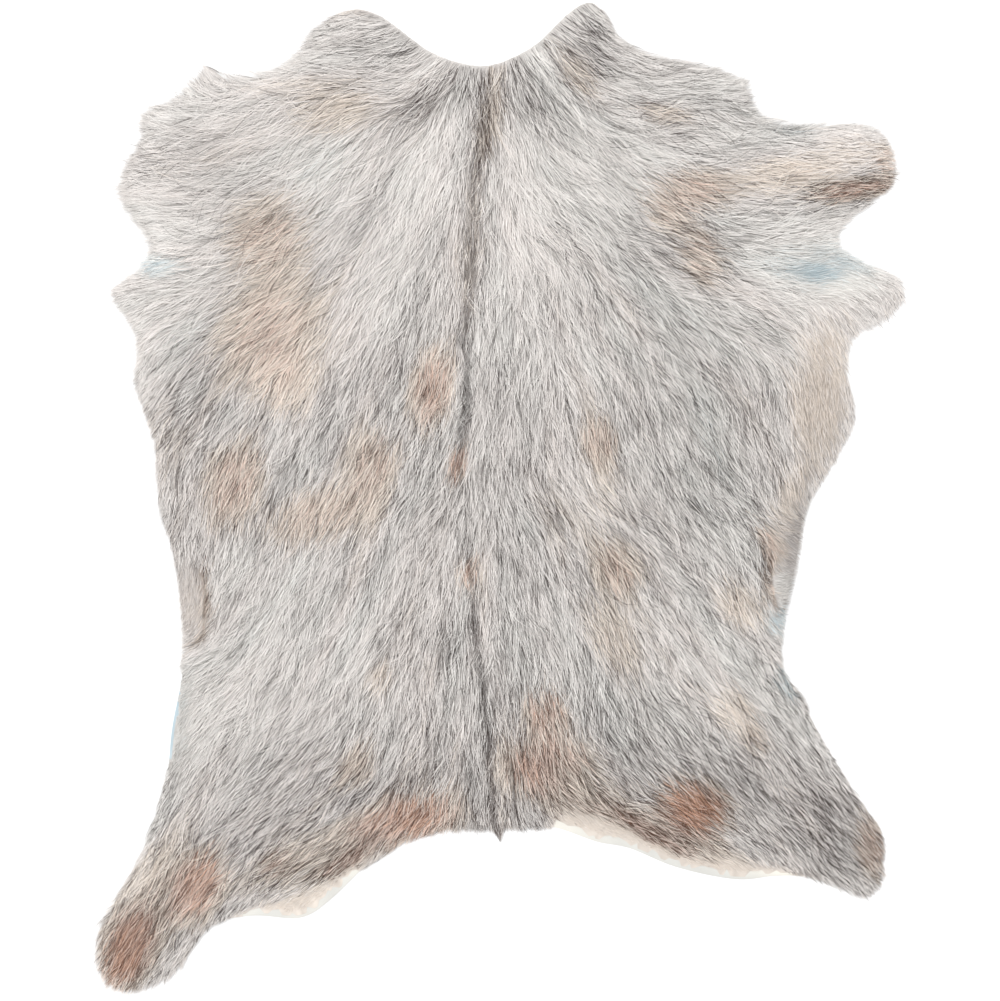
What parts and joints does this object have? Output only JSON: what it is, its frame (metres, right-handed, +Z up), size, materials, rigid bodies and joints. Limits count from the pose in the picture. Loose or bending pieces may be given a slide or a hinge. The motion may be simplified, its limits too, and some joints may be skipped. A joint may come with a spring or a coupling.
{
  "type": "goatskin rug",
  "caption": "Whole tanned goat hide with its pale grey hair on, cut in the animal's own outline and lying flat as a rug.",
  "frame": {"origin": "on the floor, under the middle of the hide's box", "axes": "+Y towards the neck, along the spine; +Z up, out of the hair; +X to the right when seen from above with the neck at the top"},
  "size_m": [0.817, 0.9936, 0.015],
  "materials": {
    "goat_hair": "soft combed hair, pale grey with tan and rust patches",
    "tanned_skin": "matte cream suede, bare along the rumps and all over the underside"
  },
  "bodies": {
    "root": {"goatskin": "goat_hair"}
  },
  "joints": []
}
